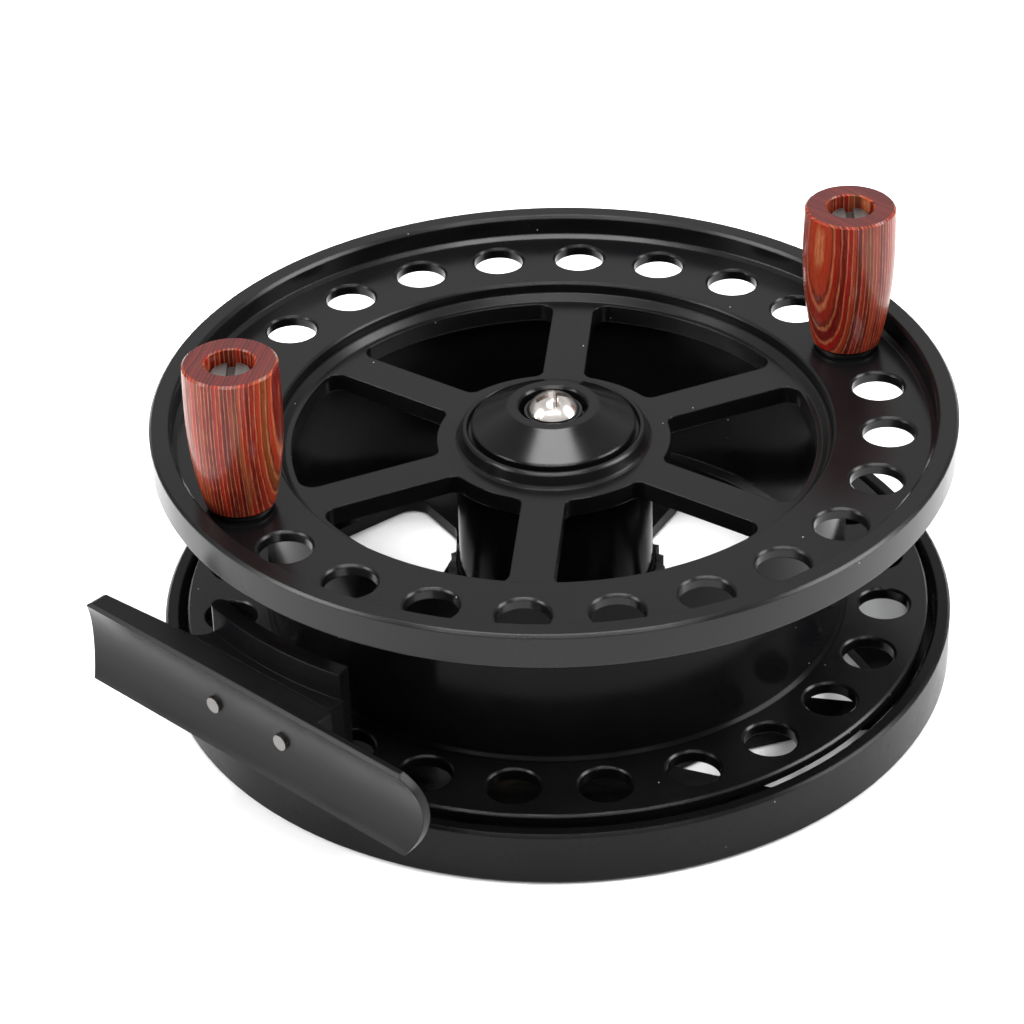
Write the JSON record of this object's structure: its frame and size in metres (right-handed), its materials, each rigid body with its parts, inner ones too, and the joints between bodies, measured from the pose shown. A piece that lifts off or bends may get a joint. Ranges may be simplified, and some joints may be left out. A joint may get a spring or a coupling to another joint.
{
  "type": "fly reel",
  "caption": "Black centrepin style fly reel with a perforated wide spool, spoked front, two laminated wood handles and a rod foot.",
  "frame": {"origin": "centre of the back face, on the spool axis", "axes": "+Z along the spool axis from the back face towards the handles; the foot faces the -X -Y side"},
  "size_m": [0.1219, 0.1235, 0.06],
  "materials": {
    "black_anodised": "black anodised, semi-gloss",
    "steel": "machined",
    "screw_steel": "polished stainless",
    "bearing_steel": "ground",
    "dark_steel": "blackened",
    "brass": "machined",
    "laminated_wood": "varnished red and tan laminate"
  },
  "bodies": {
    "frame_body": {"frame": "black_anodised", "foot_bracket": "black_anodised", "bracket_dowels": "steel", "foot": "black_anodised", "foot_pins": "steel", "spindle": "steel", "spindle_screws": "steel", "rear_bearing_inner": "bearing_steel", "front_bearing_inner": "bearing_steel", "bearing_spacer": "steel", "centre_washer": "steel", "centre_screw": "screw_steel", "click_spring": "steel", "spring_screw": "steel"},
    "spool": {"rear_bearing_outer": "bearing_steel", "front_bearing_outer": "bearing_steel", "bearing_clip": "dark_steel", "hub_barrel": "black_anodised", "click_wheel": "dark_steel", "drum": "black_anodised", "rear_flange": "black_anodised", "front_flange": "black_anodised", "front_spider": "black_anodised", "cone_cap": "black_anodised", "handle_post_a": "dark_steel", "handle_post_b": "dark_steel", "handle_washer_a": "dark_steel", "handle_washer_b": "dark_steel", "handle_screw_a": "screw_steel", "handle_screw_b": "screw_steel"},
    "grip_a": {"handle_a": "laminated_wood"},
    "grip_b": {"handle_b": "laminated_wood"},
    "rear_balls": {"rear_bearing_balls": "bearing_steel"},
    "front_balls": {"front_bearing_balls": "bearing_steel"},
    "click": {"click_shaft": "steel", "click_pawl": "brass", "click_lever": "black_anodised"}
  },
  "joints": [
    {"name": "spool_spin", "type": "hinge", "parent": "frame_body", "child": "spool", "pos_m": [0, 0, 0.02], "axis": [0, 0, 1], "continuous": true},
    {"name": "handle_a_spin", "type": "hinge", "parent": "spool", "child": "grip_a", "pos_m": [0.04297, 0.01977, 0.045], "axis": [0, 0, 1], "continuous": true},
    {"name": "handle_b_spin", "type": "hinge", "parent": "spool", "child": "grip_b", "pos_m": [-0.04297, -0.01977, 0.045], "axis": [0, 0, 1], "continuous": true},
    {"name": "rear_balls_spin", "type": "hinge", "parent": "frame_body", "child": "rear_balls", "pos_m": [0, 0, 0.014], "axis": [0, 0, 1], "continuous": true},
    {"name": "front_balls_spin", "type": "hinge", "parent": "frame_body", "child": "front_balls", "pos_m": [0, 0, 0.034], "axis": [0, 0, 1], "continuous": true},
    {"name": "click_turn", "type": "hinge", "parent": "frame_body", "child": "click", "pos_m": [-0.01, -0.022, 0.006], "axis": [0, 0, 1], "range_deg": [0, 14]}
  ],
  "couplings": [
    {"joint": "rear_balls_spin", "follows": "spool_spin", "ratio": 0.605},
    {"joint": "front_balls_spin", "follows": "spool_spin", "ratio": 0.605}
  ]
}
